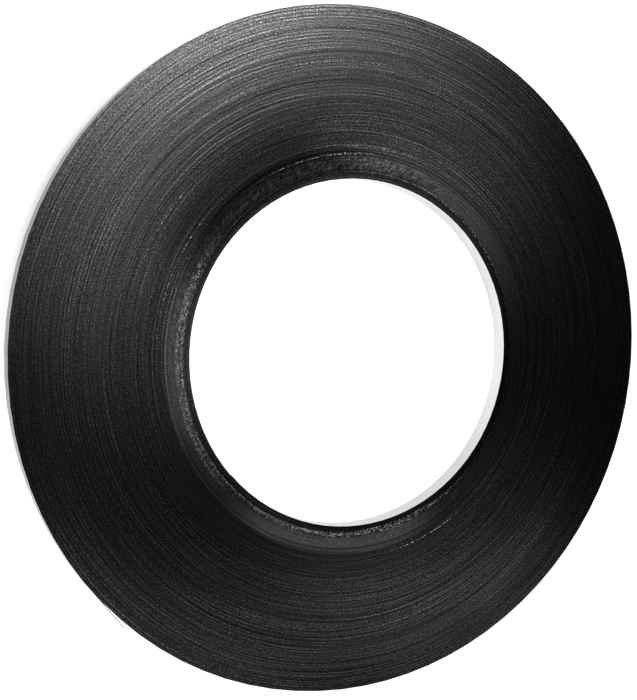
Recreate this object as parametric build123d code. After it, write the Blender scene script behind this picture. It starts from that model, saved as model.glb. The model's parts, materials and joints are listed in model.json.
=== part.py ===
from build123d import *
import math
import os

os.makedirs("parts", exist_ok=True)

# The strap: slit steel of one width and one thickness from end to end
strap_width = 16.0
strap_thickness = 0.5

# The coil: the strap wound flat on itself about the Z axis, counter-clockwise outward seen from above
bore_radius = 150.0
turn_count = 290
coil_radius = bore_radius + turn_count * strap_thickness

# The first turns were pushed down along the axis: a level ring beside the bore, then a funnel up to the rest
sunk_turns = 12
funnel_turns = 33
funnel_drop = 1.5

# The level ring is wound in bundles that differ a little in height
sunk_bundle_count = 2
sunk_step = 0.25

# The rest is wound in bundles that wander up and down by this much, this far on from one to the next
bundle_count = 12
bundle_wander = 0.3
bundle_phase = 137.5

# The free end of the strap: it springs off the last turn at this angle from X, bent outward a little
tail_angle = 221.0
tail_length = 30.0
tail_bend = 2.9

# Outline of the last turn: a spiral made of this many arcs
outline_arcs = 6


def polar(radius, degrees):
    """A point of the plan view, from its distance to the axis and its angle from X."""
    angle = math.radians(degrees)
    return Vector(radius * math.cos(angle), radius * math.sin(angle))


# Height of each bundle's lower edges above the floor, with the radii it runs between
sunk_radius = bore_radius + sunk_turns * strap_thickness
funnel_radius = sunk_radius + funnel_turns * strap_thickness
sunk_bundle = (sunk_radius - bore_radius) / sunk_bundle_count
bundle = (coil_radius - funnel_radius) / bundle_count
main_level = funnel_drop + bundle_wander

lower_edge = []
for i in range(sunk_bundle_count):
    level = sunk_step * (i % 2)
    lower_edge.append((bore_radius + i * sunk_bundle, level))
    lower_edge.append((bore_radius + (i + 1) * sunk_bundle, level))
for i in range(bundle_count):
    level = main_level + bundle_wander * math.sin(math.radians(bundle_phase * i))
    lower_edge.append((funnel_radius + i * bundle, level))
    lower_edge.append((funnel_radius + (i + 1) * bundle, level))

# The outermost bundle runs on past the last turn, so that the free end can be cut from it
tail_reach = coil_radius + tail_length
lower_edge[-1] = (tail_reach, lower_edge[-1][1])

# Every turn is as wide as the strap, so the upper end repeats the lower end, one strap width higher
upper_edge = [(radius, level + strap_width) for radius, level in reversed(lower_edge)]
section = make_face(Plane.XZ * Polyline(*lower_edge, *upper_edge, close=True))
turned = revolve(section, Axis.Z)

# Plan view: the last turn spirals out by one thickness, and the free end leaves it nearly straight
def on_spiral(degrees):
    """A point of the last turn's outer side, this far on from where that turn starts."""
    return polar(coil_radius - strap_thickness * (1 - degrees / 360), tail_angle + degrees)


arc = 360 / outline_arcs
last_turn = []
for i in range(outline_arcs):
    last_turn.append(ThreePointArc(on_spiral(i * arc), on_spiral((i + 0.5) * arc), on_spiral((i + 1) * arc)))
along = polar(1, tail_angle + 90 - tail_bend)
across = polar(1, tail_angle - tail_bend)
tip_outside = on_spiral(360) + along * tail_length
tip_inside = tip_outside - across * strap_thickness
free_end = Polyline(on_spiral(360), tip_outside, tip_inside, on_spiral(0))
outline = make_face([*last_turn, *free_end.edges()])

coil_height = strap_width + main_level + bundle_wander
strap_coil = turned & extrude(outline, amount=coil_height)

export_step(strap_coil, "parts/strap_coil.step")
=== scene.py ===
import bmesh
import bpy
import json
import math
from mathutils import Matrix, Vector, noise


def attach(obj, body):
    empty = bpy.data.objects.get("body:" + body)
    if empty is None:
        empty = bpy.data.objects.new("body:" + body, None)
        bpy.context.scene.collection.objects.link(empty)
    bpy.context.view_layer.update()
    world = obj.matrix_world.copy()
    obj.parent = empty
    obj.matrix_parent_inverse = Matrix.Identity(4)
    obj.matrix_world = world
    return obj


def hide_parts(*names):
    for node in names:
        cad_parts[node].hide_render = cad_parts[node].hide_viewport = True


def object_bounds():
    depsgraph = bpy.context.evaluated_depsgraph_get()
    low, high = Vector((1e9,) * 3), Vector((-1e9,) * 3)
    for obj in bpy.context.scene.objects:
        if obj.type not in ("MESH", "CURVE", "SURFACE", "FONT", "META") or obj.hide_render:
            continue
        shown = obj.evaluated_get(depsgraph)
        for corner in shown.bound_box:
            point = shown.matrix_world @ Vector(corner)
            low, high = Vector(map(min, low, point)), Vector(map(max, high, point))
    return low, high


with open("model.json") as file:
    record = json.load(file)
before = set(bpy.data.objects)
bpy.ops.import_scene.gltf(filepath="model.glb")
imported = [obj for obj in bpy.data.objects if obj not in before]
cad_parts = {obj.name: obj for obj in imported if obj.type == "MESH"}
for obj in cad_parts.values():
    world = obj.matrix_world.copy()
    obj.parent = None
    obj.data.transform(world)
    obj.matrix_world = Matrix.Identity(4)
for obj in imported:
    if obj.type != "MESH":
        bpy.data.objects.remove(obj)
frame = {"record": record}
cad_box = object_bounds()

# The wound strap: one length of cold-rolled, slit and blued steel strap, wound flat on itself with no core.
# Every turn is as wide as the strap, so what stands proud above is short below, and both ends of the coil
# are the strap's slit edges: one spiral of 290 turns from the bore to the rim, ending in a sprung free end.
bore = next(mount for mount in frame["record"]["mounts"] if mount["name"] == "bore")
bore_radius = bore["dims"]["r_mm"] / 1000
strap_width = bore["dims"]["length_mm"] / 1000
strap_thickness = 0.0005
turn_count = 290
outer_radius = bore_radius + turn_count * strap_thickness
steps_per_turn = 84
free_end_angle = math.radians(221)
free_end_length = 0.030
free_end_bend = math.radians(2.9)
free_end_steps = 6
bend_steps = 2

# Within a bundle no turn lies quite true: it wanders, leans, and for part of its way may sit low. The steps
# are how far along its noise a turn is from the one before it
edge_wander = 0.00006
wander_step = 3.618
wander_seed = (0.5, 0.2)
edge_lean = 0.00003
lean_step = 5.382
lean_seed = (7.5, 1.2)
low_turn_depth = 0.00035
low_turn_step = 1.618
low_turn_seed = (4.5, 9.2)
low_turn_rarity = 0.42
low_turn_onset = 4
funnel_calm = 0.3

# The levels of the strap's lower edge above the floor: sunk turns at the bore, a funnel, then the rest
lowest_level = edge_wander + edge_lean / 2
sunk_turns = 12
funnel_turns = 33
sunk_step = 0.00025
main_level = 0.0018
bundle_count = 12
bundle_wander = 0.0002
bundle_phase = math.radians(137.5)
bundle_turns = (turn_count - sunk_turns - funnel_turns) / bundle_count
crossing = 0.6
funnel_lean_share = 0.45
funnel_lean = funnel_lean_share * (main_level - sunk_step) / funnel_turns


def eased(share):
    """A share held between 0 and 1 that starts and stops softly, as the strap climbs from level to level."""
    share = min(1.0, max(0.0, share))
    return share * share * (3 - 2 * share)


def level(wound):
    """Height of the strap's lower edge after this many turns."""
    if wound < sunk_turns:
        return lowest_level + (sunk_step - lowest_level) * eased((wound - sunk_turns / 2) / crossing)
    outward = wound - sunk_turns
    if outward < funnel_turns:
        return sunk_step + (main_level - sunk_step) * outward / funnel_turns
    bundle, past = divmod(outward - funnel_turns, bundle_turns)
    here = math.sin(bundle_phase * bundle)
    before = math.sin(bundle_phase * (bundle - 1)) if bundle else here
    return main_level + bundle_wander * (before + (here - before) * eased(past / crossing))


def drift(wound, step, seed):
    """Noise between -1 and 1 along the strap."""
    return noise.noise(Vector((wound * step, *seed)))


def unevenness(wound):
    """How far the edge lies off its level, and how much its outer arris is higher than its inner one."""
    wander = edge_wander * drift(wound, wander_step, wander_seed)
    lean = edge_lean * drift(wound, lean_step, lean_seed)
    if wound > sunk_turns + funnel_turns:
        low = drift(wound, low_turn_step, low_turn_seed) - low_turn_rarity
        wander -= low_turn_depth * eased(low_turn_onset * low)
    elif wound > sunk_turns:
        wander, lean = wander * funnel_calm, lean * funnel_calm + funnel_lean
    return wander, lean


# A section of all turns but the last, two vertices for each slit edge, is spun once about the axis
rows = turn_count - 1
section_radius = bore_radius + rows * strap_thickness
turns = bmesh.new()
wound_layer, across_layer, tone_layer, streaks_layer, scored_layer, rubbed_and_glint_layer = (
    turns.verts.layers.float.new(name) for name in ("wound", "across", "tone", "streaks", "scored", "rubbed_and_glints"))
corners = [turns.verts.new((x, 0, z)) for x, z in (
    (bore_radius, 0), (section_radius, 0), (section_radius, strap_width), (bore_radius, strap_width))]
sides = [turns.edges.new((corners[i - 1], corners[i])) for i in range(4)]
bmesh.ops.subdivide_edges(turns, edges=[sides[1], sides[3]], cuts=2 * rows - 2)
first_rows = []
for z in (0, strap_width):
    row = sorted((v for v in turns.verts if abs(v.co.z - z) < strap_width / 4), key=lambda v: v.co.x)
    for i, vertex in enumerate(row):
        turn, outer_arris = divmod(i, 2)
        vertex.co.x = bore_radius + (turn + outer_arris) * strap_thickness
        vertex[wound_layer] = turn
        vertex[across_layer] = outer_arris
    first_rows.append(row)
spun = bmesh.ops.spin(turns, geom=turns.verts[:] + turns.edges[:], axis=(0, 0, 1), cent=(0, 0, 0),
                      angle=math.tau, steps=steps_per_turn, use_merge=False)
last_ring = {e for e in spun["geom_last"] if isinstance(e, bmesh.types.BMVert)}
last_rows = [sorted((v for v in last_ring if (v.co.z > strap_width / 2) == upper),
                    key=lambda v: (v[wound_layer], v[across_layer])) for upper in (False, True)]

# How light a turn looks, and how streaked, against the bulk of the coil: turn, tone, streaks. The turns
# of the funnel beside the bore are lighter, the innermost turns darker, and the last turns a little darker
look_by_turn = (
    (0, 0.4, 0.3), (2.5, 1.5, 0.5), (5, 1.4, 0.5), (7, 0.9, 0.5), (9, 0.7, 0.6), (11, 1.4, 1), (14, 1.9, 1),
    (16, 1.9, 1), (18, 1.9, 0.5), (21, 2.7, 0.3), (34, 2.8, 0.3), (37, 2.2, 0.3), (38.5, 1.3, 0.4),
    (41.5, 3.4, 0.5), (44, 2.2, 0.6), (46, 0.9, 1), (48, 1.2, 1), (54.5, 1.1, 1), (56.5, 2, 1),
    (58.5, 1.1, 1), (62, 1.2, 1), (130, 1.18, 1), (190, 1.06, 1), (225, 0.98, 1), (243, 0.88, 0.95),
    (290, 0.88, 0.85))

# Patches of painted highlight and painted shade, lighter or darker where the lamps' fans and shadows fall on
# the turns, some only more or less streaked: middle turn and azimuth, half their reach in turns and degrees,
# tone and streaks
painted_light_patches = (
    (20, 38, 34, 64, 0.42, 1), (28, 66, 18, 36, 1.4, 1), (27, 118, 26, 42, 0.3, 1), (30, 118, 13, 42, 1, 2),
    (27, 180, 26, 30, 1.7, 1), (27, 264, 26, 40, 3.3, 1), (27, 325, 26, 36, 0.7, 1), (8, 210, 9, 60, 1.7, 1),
    (3, 305, 8, 80, 0.3, 1), (38.5, 66, 3, 50, 1.6, 1), (42, 60, 5, 60, 0.7, 1), (41, 275, 5, 40, 0.6, 1),
    (46, 116, 3, 36, 0.35, 1), (53, 120, 3, 36, 0.5, 1), (66, 128, 46, 32, 0.55, 1),
    (60, 255, 40, 60, 1, 0.6), (285, 311, 130, 17, 1.4, 1), (170, 66, 260, 50, 1, 1.12),
    (235, 112, 130, 40, 1, 0.72), (14, 258, 8, 58, 0.55, 1))

# Where the end was scored across the turns: middle turn and azimuth, half the reach in each, depth
scored_patches = ((26, 108, 15, 62, 1), (26, 160, 13, 30, 0.7), (26, 280, 11, 46, 0.4))

# Where arrises stand proud and are rubbed bright, with painted glints on them: first turn, last turn,
# azimuth, half length, brightness
rubbed_and_glinting_arcs = (
    (11, 11, 250, 54, 0.5), (12, 15, 276, 42, 1), (12, 15, 238, 34, 0.6), (16, 17, 266, 46, 0.9),
    (18, 19, 264, 36, 0.6), (12, 24, 185, 48, 0.6), (9, 10, 285, 16, 1), (52, 52, 285, 10, 1),
    (57, 58, 294, 14, 1), (12, 12, 43, 20, 0.7), (12, 12, 70, 25, 0.4), (6, 6, 345, 30, 0.3),
    (41, 41, 103, 22, 1), (43, 43, 94, 8, 1), (43, 43, 160, 14, 0.8), (55, 56, 86, 18, 0.5),
    (57, 57, 162, 24, 0.7), (94, 94, 92, 25, 0.3), (109, 109, 146, 14, 0.8), (125, 125, 45, 30, 0.25),
    (142, 142, 190, 14, 0.25), (181, 181, 255, 18, 0.2), (195, 195, 95, 14, 0.4),
    (251, 251, 104, 16, 0.25), (274, 274, 112, 14, 0.2))


def within(distance, reach):
    """1 up to half way out to the reach, and from there softly down to 0."""
    return eased(2 - 2 * distance / reach)


def away(azimuth, middle):
    """The angle between two azimuths in degrees."""
    return abs((azimuth - middle + 180) % 360 - 180)


def look(wound, azimuth):
    """How light the strap looks, the painted highlight and shade of the patches included, and how streaked,
    after this many turns and at an azimuth in degrees.
    """
    last, following = next(pair for pair in zip(look_by_turn, look_by_turn[1:]) if wound <= pair[1][0])
    share = (wound - last[0]) / (following[0] - last[0])
    tone, streaks = (low + (high - low) * share for low, high in zip(last[1:], following[1:]))
    for turn, middle, half_turns, half_length, tone_there, streaks_there in painted_light_patches:
        inside = within(abs(wound - turn), half_turns) * within(away(azimuth, middle), half_length)
        tone *= 1 + (tone_there - 1) * inside
        streaks *= 1 + (streaks_there - 1) * inside
    return tone, streaks


def scoring(wound, azimuth):
    """How deep the strap's edge is scored across after this many turns, at an azimuth in degrees."""
    return max(depth * within(abs(wound - turn), half_turns) * within(away(azimuth, middle), half_length)
               for turn, middle, half_turns, half_length, depth in scored_patches)


def rubbing_and_glints(turn, azimuth):
    """How far the blueing of this turn is rubbed through, painted glints included, at an azimuth in degrees.
    """
    return max(bright * within(away(azimuth, middle), half_length) if first <= turn <= last else 0.0
               for first, last, middle, half_length, bright in rubbed_and_glinting_arcs)


# The rings become a spiral: in one revolution each turn gains its own thickness, level and unevenness. The
# first turn and the last lie true
for vertex in turns.verts:
    share = 1.0 if vertex in last_ring else math.atan2(vertex.co.y, vertex.co.x) / math.tau % 1.0
    wound = vertex[wound_layer] + share
    azimuth = math.degrees(free_end_angle) + 360 * share
    vertex[wound_layer] = wound
    vertex[tone_layer], vertex[streaks_layer] = look(wound, azimuth)
    vertex[scored_layer] = scoring(wound, azimuth)
    vertex[rubbed_and_glint_layer] = rubbing_and_glints(int(wound), azimuth)
    vertex.co.xy *= 1 + share * strap_thickness / vertex.co.xy.length
    wander, lean = unevenness(wound)
    steady = min(1.0, rows - wound) * min(1.0, wound / 2)
    vertex.co.z += level(wound) + steady * (wander + lean * (vertex[across_layer] - 0.5))
joined = {}
for row, last in zip(first_rows, last_rows):
    joined.update({last[i]: row[i + 2] for i in range(len(last) - 2)})
    joined[last[-2]] = row[-1]
bmesh.ops.weld_verts(turns, targetmap=joined)
end_faces = bmesh.ops.holes_fill(turns, edges=[e for e in turns.edges if e.is_boundary], sides=6)["faces"]

# The free end springs off the rim: the outer end face is drawn out straight, past one short bend
free_face = max(end_faces, key=lambda face: face.calc_center_median().xy.length)
for i in range(free_end_steps):
    grown = bmesh.ops.extrude_face_region(turns, geom=[free_face])["geom"]
    turns.faces.remove(free_face)
    free_face = next(e for e in grown if isinstance(e, bmesh.types.BMFace))
    bend = free_end_bend * eased((i + 1) / bend_steps)
    step = Vector((math.sin(bend), math.cos(bend), 0)) * free_end_length / free_end_steps
    bmesh.ops.translate(turns, verts=free_face.verts[:], vec=step)
    for vertex in free_face.verts:
        vertex[wound_layer] += step.length / (math.tau * outer_radius)
bmesh.ops.rotate(turns, verts=turns.verts[:], cent=(0, 0, 0), matrix=Matrix.Rotation(free_end_angle, 3, "Z"))

# Where two turns lie level there is no step between them, so its edges go
no_step = 0.000001
bmesh.ops.dissolve_degenerate(turns, edges=turns.edges[:], dist=no_step)
bmesh.ops.recalc_face_normals(turns, faces=turns.faces[:])

# The rolled faces, a strap width high, show at the rim and the free end, slot 1, and in the bore, slot 2
sharp_arris = math.radians(30)
for face in turns.faces:
    face.smooth = True
    heights = [vertex.co.z for vertex in face.verts]
    if max(heights) - min(heights) > strap_width / 2:
        in_bore = face.calc_center_median().xy.length < bore_radius + strap_thickness
        face.material_index = 2 if in_bore else 1
for edge in turns.edges:
    same_section = edge.verts[0][wound_layer] == edge.verts[1][wound_layer]
    edge.smooth = same_section and edge.calc_face_angle() < sharp_arris
coil_mesh = bpy.data.meshes.new("strap_coil_turns")
turns.to_mesh(coil_mesh)
turns.free()
coil = bpy.data.objects.new("strap_coil_turns", coil_mesh)
bpy.context.scene.collection.objects.link(coil)


def place(tree, kind, inputs=(), **settings):
    """Put a node in a tree, with its settings, and a value or a link for each input named or numbered."""
    node = tree.nodes.new(kind)
    for name, value in settings.items():
        setattr(node, name, value)
    for key, value in dict(inputs).items():
        if isinstance(value, bpy.types.NodeSocket):
            tree.links.new(value, node.inputs[key])
        else:
            node.inputs[key].default_value = value
    return node


def maths(tree, operation, *values):
    """The result of one operation on values or links."""
    return place(tree, "ShaderNodeMath", enumerate(values), operation=operation).outputs[0]


def remap(tree, value, low, high, to_low, to_high, soft=False):
    """A value between low and high carried over to between two others, and held there beyond them."""
    return place(tree, "ShaderNodeMapRange", {
        "Value": value, "From Min": low, "From Max": high, "To Min": to_low, "To Max": to_high},
        interpolation_type="SMOOTHSTEP" if soft else "LINEAR").outputs["Result"]


def blend(tree, share, first, second):
    """A colour between two others."""
    return place(tree, "ShaderNodeMix", {"Factor": share, "A": first, "B": second},
                 data_type="RGBA").outputs["Result"]


# Marks that run with the strap: turns set apart from those beside them, the grain of the cut, painted shade
# in the open joints between turns, scores across the turns, and specks on arrises where the blueing is rubbed
# through, painted bright as glints
marks = bpy.data.node_groups.new("marks along the strap", "ShaderNodeTree")
for name in ("Streaks", "Grain", "By Turn"):
    marks.interface.new_socket(name, in_out="INPUT", socket_type="NodeSocketFloat")
for name in ("Tone", "Open Joint Shade", "Rubbed And Glints", "Grit"):
    marks.interface.new_socket(name, in_out="OUTPUT", socket_type="NodeSocketFloat")
given = marks.nodes.new("NodeGroupInput").outputs


def carried(name):
    """A value that the mesh carries from vertex to vertex."""
    return place(marks, "ShaderNodeAttribute", attribute_name=name).outputs["Fac"]


def noise_at(where, scale=1.0, detail=1.0, output="Fac"):
    """Noise in space, as fine as the scale says."""
    found = place(marks, "ShaderNodeTexNoise", {"Vector": where, "Scale": scale, "Detail": detail})
    return found.outputs[output]


def round_and_out(direction, cycles_round, cycles_per_turn):
    """Where to read noise that changes round the coil with the direction, and outward from turn to turn."""
    outward = maths(marks, "MULTIPLY", wound, cycles_per_turn)
    outward = place(marks, "ShaderNodeCombineXYZ", {"Z": outward}).outputs[0]
    return place(marks, "ShaderNodeVectorMath", {0: direction, 1: (cycles_round,) * 3, 2: outward},
                 operation="MULTIPLY_ADD").outputs[0]


def along(offset):
    """Noise that runs along the strap, out of step with the turns, so that each differs from the next."""
    cycles_per_turn = 5.618
    where = maths(marks, "MULTIPLY_ADD", wound, cycles_per_turn, offset)
    return place(marks, "ShaderNodeTexNoise", {"W": where, "Scale": 1.0, "Detail": 2.0},
                 noise_dimensions="1D").outputs["Fac"]


wound = carried("wound")
streaked = carried("streaks")
place_on_coil = place(marks, "ShaderNodeTexCoord").outputs["Object"]
flat = place(marks, "ShaderNodeVectorMath", {0: place_on_coil, 1: (1, 1, 0)}, operation="MULTIPLY").outputs[0]
way = place(marks, "ShaderNodeVectorMath", {0: flat}, operation="NORMALIZE").outputs[0]

# Single turns set apart, and lines every few turns that shift and fade on their way round
set_apart_strength = 2.9
lines_per_turn = 0.18
line_shift = 1.5
faint_line = 0.2
shifts_round = 2.3
shifts_per_turn = 0.11
set_apart = maths(marks, "SUBTRACT", along(3.0), along(17.5))
shift_and_fade = noise_at(round_and_out(way, shifts_round, shifts_per_turn), output="Color")
shift_and_fade = place(marks, "ShaderNodeSeparateColor", {"Color": shift_and_fade}).outputs
lines = maths(marks, "MULTIPLY", wound, lines_per_turn)
lines = maths(marks, "MULTIPLY_ADD", shift_and_fade["Red"], line_shift, lines)
lines = maths(marks, "SINE", maths(marks, "MULTIPLY", lines, math.tau))
fading = remap(marks, shift_and_fade["Green"], 0.4, 0.6, faint_line, 1.0, soft=True)
lines = maths(marks, "MULTIPLY", lines, fading)
by_turn = maths(marks, "MULTIPLY_ADD", set_apart, set_apart_strength, lines)

# The grain of the cut, and scores that lean across a few turns each
grain_per_metre = 900.0
score_lean_per_turn = 0.0031
score_strength = 0.8
scores_round = 90.0
scores_per_turn = 0.15
by_grain = remap(marks, noise_at(place_on_coil, grain_per_metre), 0.3, 0.7, -1.0, 1.0)
score_lean = maths(marks, "MULTIPLY", wound, score_lean_per_turn)
leaning = place(marks, "ShaderNodeVectorRotate", {"Vector": way, "Angle": score_lean},
                rotation_type="Z_AXIS").outputs[0]
scores = noise_at(round_and_out(leaning, scores_round, scores_per_turn))
scores = remap(marks, scores, 0.35, 0.65, -score_strength, score_strength)
scores = maths(marks, "MULTIPLY", scores, carried("scored"))

# Tone is a factor on the steel's colour
depth = maths(marks, "MULTIPLY", by_turn, given["Streaks"])
depth = maths(marks, "MULTIPLY_ADD", by_grain, given["Grain"], depth)
depth = maths(marks, "MULTIPLY", depth, streaked)
depth = maths(marks, "MULTIPLY_ADD", scores, given["By Turn"], depth)
own_tone = maths(marks, "POWER", carried("tone"), given["By Turn"])
tone = maths(marks, "MULTIPLY", maths(marks, "EXPONENT", depth), own_tone)
# Painted shade in the open joints, where a turn is set apart darker than its neighbours
open_joint_shade = maths(marks, "MULTIPLY", remap(marks, set_apart, -0.2, -0.35, 0.0, 1.0, soft=True), streaked)

# Specks on the rubbed arcs, which catch the light from any side because they stand rough; their bright colour
# is partly a painted glint
specks_per_metre = 750.0
speck_height = 20.0
proud = remap(marks, noise_at(place_on_coil, specks_per_metre, detail=0.0), 0.6, 0.65, 0.0, 1.0)
specks = maths(marks, "MULTIPLY", carried("rubbed_and_glints"), proud)
grit = maths(marks, "MULTIPLY_ADD", specks, speck_height, by_grain)
place(marks, "NodeGroupOutput", {"Tone": tone, "Open Joint Shade": open_joint_shade, "Rubbed And Glints": specks, "Grit": grit})


def strap_steel(name, colour, roughness, anisotropic, streaks, grain, by_turn=0.0, joint_shade_depth=0.0, wear_and_glint=0.0,
                grit_height=0.0):
    """Blued steel whose grain lies along the strap, with the strap's own marks in its tone and sheen."""
    steel = bpy.data.materials.new(name)
    steel.use_nodes = True
    tree = steel.node_tree
    shader = tree.nodes["Principled BSDF"]
    shader.inputs["Metallic"].default_value = 1.0
    shader.inputs["Anisotropic"].default_value = anisotropic
    tangent = place(tree, "ShaderNodeTangent", direction_type="RADIAL", axis="Z")
    tree.links.new(tangent.outputs["Tangent"], shader.inputs["Tangent"])
    found = place(tree, "ShaderNodeGroup", node_tree=marks)
    found.inputs["Streaks"].default_value = streaks
    found.inputs["Grain"].default_value = grain
    found.inputs["By Turn"].default_value = by_turn
    # The painted joint shade darkens the steel's colour
    joint_shade = maths(tree, "MULTIPLY_ADD", found.outputs["Open Joint Shade"], -joint_shade_depth, 1.0)
    tone = maths(tree, "MULTIPLY", found.outputs["Tone"], joint_shade)
    colour = place(tree, "ShaderNodeVectorMath", {0: colour, "Scale": tone}, operation="SCALE").outputs[0]
    # The specks are bare steel where the blueing is rubbed through, painted lighter still as glints
    rubbed_and_glint_bright = (0.9, 0.91, 0.92, 1)
    colour = blend(tree, maths(tree, "MULTIPLY", found.outputs["Rubbed And Glints"], wear_and_glint), colour, rubbed_and_glint_bright)
    tree.links.new(colour, shader.inputs["Base Color"])
    lighter_is_smoother = 0.04
    roughness = remap(tree, tone, 0.4, 1.6, roughness + lighter_is_smoother, roughness - lighter_is_smoother)
    tree.links.new(roughness, shader.inputs["Roughness"])
    if grit_height:
        bump = place(tree, "ShaderNodeBump", {"Height": found.outputs["Grit"], "Distance": grit_height})
        tree.links.new(bump.outputs["Normal"], shader.inputs["Normal"])
    return steel


# The slit edges are dark and matt; the rolled faces are smoother and show the blue. In the bore the rolled
# face is painted bright, a painted reflection of the white floor that its wall mirrors
coil_mesh.materials.append(strap_steel(
    "blued steel slit edges", colour=(0.0418, 0.0422, 0.0433), roughness=0.32, anisotropic=0.6,
    streaks=0.63, grain=1.2, by_turn=1.0, joint_shade_depth=0.5, wear_and_glint=1.0, grit_height=0.000005))
coil_mesh.materials.append(strap_steel(
    "blued steel rolled faces", colour=(0.125, 0.143, 0.167), roughness=0.22, anisotropic=0.3,
    streaks=0.12, grain=0.05, by_turn=1.0))
coil_mesh.materials.append(strap_steel(
    "rolled face painted bright in the bore", colour=(0.61, 0.62, 0.63), roughness=0.22, anisotropic=0.3,
    streaks=0.12, grain=0.05))

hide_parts("strap_coil")
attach(coil, "root")

# The studio: a pale floor, a pale room that is dim overhead, and soft round lamps. The lamps stand to the
# sides of what the face mirrors to the camera, so the dark steel shows them as fans across its turns
floor_reach = 40.0
floor_plane = bmesh.new()
bmesh.ops.create_grid(floor_plane, x_segments=1, y_segments=1, size=floor_reach)
floor_mesh = bpy.data.meshes.new("floor")
floor_plane.to_mesh(floor_mesh)
floor_plane.free()
floor = bpy.data.objects.new("floor", floor_mesh)
bpy.context.scene.collection.objects.link(floor)

# To the eye and in the steel the floor is lifted to white, and it keeps the coil's shadow
floor_tone = (0.6, 0.6, 0.6, 1)
floor_lift = 0.66
pale = bpy.data.materials.new("pale floor")
pale.use_nodes = True
pale_shader = pale.node_tree.nodes["Principled BSDF"]
pale_shader.inputs["Base Color"].default_value = floor_tone
pale_shader.inputs["Roughness"].default_value = 0.9
pale_shader.inputs["Specular IOR Level"].default_value = 0.2
pale_shader.inputs["Emission Color"].default_value = (1, 1, 1, 1)
ray = place(pale.node_tree, "ShaderNodeLightPath").outputs
seen = maths(pale.node_tree, "MAXIMUM", ray["Is Camera Ray"], ray["Is Glossy Ray"])
seen = maths(pale.node_tree, "MAXIMUM", seen, ray["Is Transmission Ray"])
lift = maths(pale.node_tree, "MULTIPLY", seen, floor_lift)
pale.node_tree.links.new(lift, pale_shader.inputs["Emission Strength"])
floor_mesh.materials.append(pale)

# The room is as pale as the unlit floor. Overhead the steel finds it dim, but the camera does not
room_tone = (0.66, 0.66, 0.66, 1)
overhead_tone = (0.02, 0.02, 0.02, 1)
wall_foot = 0.05
wall_top = 0.30
studio = bpy.data.worlds.new("studio")
bpy.context.scene.world = studio
studio.use_nodes = True
looking = place(studio.node_tree, "ShaderNodeTexCoord").outputs["Generated"]
rise = place(studio.node_tree, "ShaderNodeSeparateXYZ", {0: looking}).outputs["Z"]
overhead = remap(studio.node_tree, rise, wall_foot, wall_top, 0.0, 1.0, soft=True)
room = blend(studio.node_tree, overhead, room_tone, overhead_tone)
looked_at = place(studio.node_tree, "ShaderNodeLightPath").outputs["Is Camera Ray"]
room = blend(studio.node_tree, looked_at, room, room_tone)
studio.node_tree.links.new(room, studio.node_tree.nodes["Background"].inputs["Color"])


def soft_lamp(name, azimuth, polar, strength, distance=0.75, size=0.25):
    """A round area lamp that faces the coil's centre; its strength is its own brightness, 1 being white."""
    lamp = bpy.data.lights.new(name, "AREA")
    lamp.shape = "DISK"
    lamp.size = size
    lamp.energy = strength * math.pi * math.pi * size ** 2 / 4
    stand = bpy.data.objects.new(name, lamp)
    stand.visible_camera = False
    bpy.context.scene.collection.objects.link(stand)
    side, height = math.radians(azimuth), math.radians(90 - polar)
    way = Vector((math.cos(height) * math.cos(side), math.cos(height) * math.sin(side), math.sin(height)))
    stand.matrix_world = Matrix.Translation(way * distance) @ way.to_track_quat("Z", "Y").to_matrix().to_4x4()


soft_lamp("key_high", 90, 32, 10.0)
soft_lamp("key_low", 75, 44, 17.5)
soft_lamp("high_fill", 150, 20, 0.5, distance=0.5, size=0.2)
soft_lamp("side_fill", 30, 32, 1.0, distance=0.5, size=0.2)
soft_lamp("left_fill", 240, 50, 1.6, distance=0.5, size=0.2)
soft_lamp("front_fill", 270, 50, 0.6, distance=0.5, size=0.2)
soft_lamp("corner_fill_near", 300, 50, 0.4, distance=0.5, size=0.2)
soft_lamp("corner_fill_far", 315, 51, 0.5)
soft_lamp("floor_fill_left", 245, 72, 28.0, distance=2.2, size=1.0)
soft_lamp("floor_fill_right", 335, 72, 1.5, distance=2.2, size=1.0)

# The camera looks down on the face at the photograph's angle: its tilt from the coil's axis, the side it
# leans to, and where in the 637 x 700 picture the centre of the face lies
camera_tilt = math.radians(24.66)
camera_side = math.radians(169.56)
camera_distance = 3.4 * outer_radius
camera_focal_pixels = 1165.0
picture_size = (637, 700)
coil_centre_pixel = (357.3, 354.6)
aside, below = ((pixel - size / 2) / camera_focal_pixels * camera_distance
                for pixel, size in zip(coil_centre_pixel, picture_size))
face_centre = Vector((0, 0, cad_box[1][2]))
hinge = Vector((-math.sin(camera_side), math.cos(camera_side), 0))
camera_data = bpy.data.cameras.new("camera")
camera_data.sensor_width = 36
camera_data.lens = camera_focal_pixels * camera_data.sensor_width / max(picture_size)
camera = bpy.data.objects.new("camera", camera_data)
bpy.context.scene.collection.objects.link(camera)
camera.matrix_world = (Matrix.Translation(face_centre) @ Matrix.Rotation(camera_tilt, 4, hinge)
                       @ Matrix.Translation((-aside, below, camera_distance)))
bpy.context.scene.camera = camera
bpy.context.scene.view_settings.view_transform = "Standard"
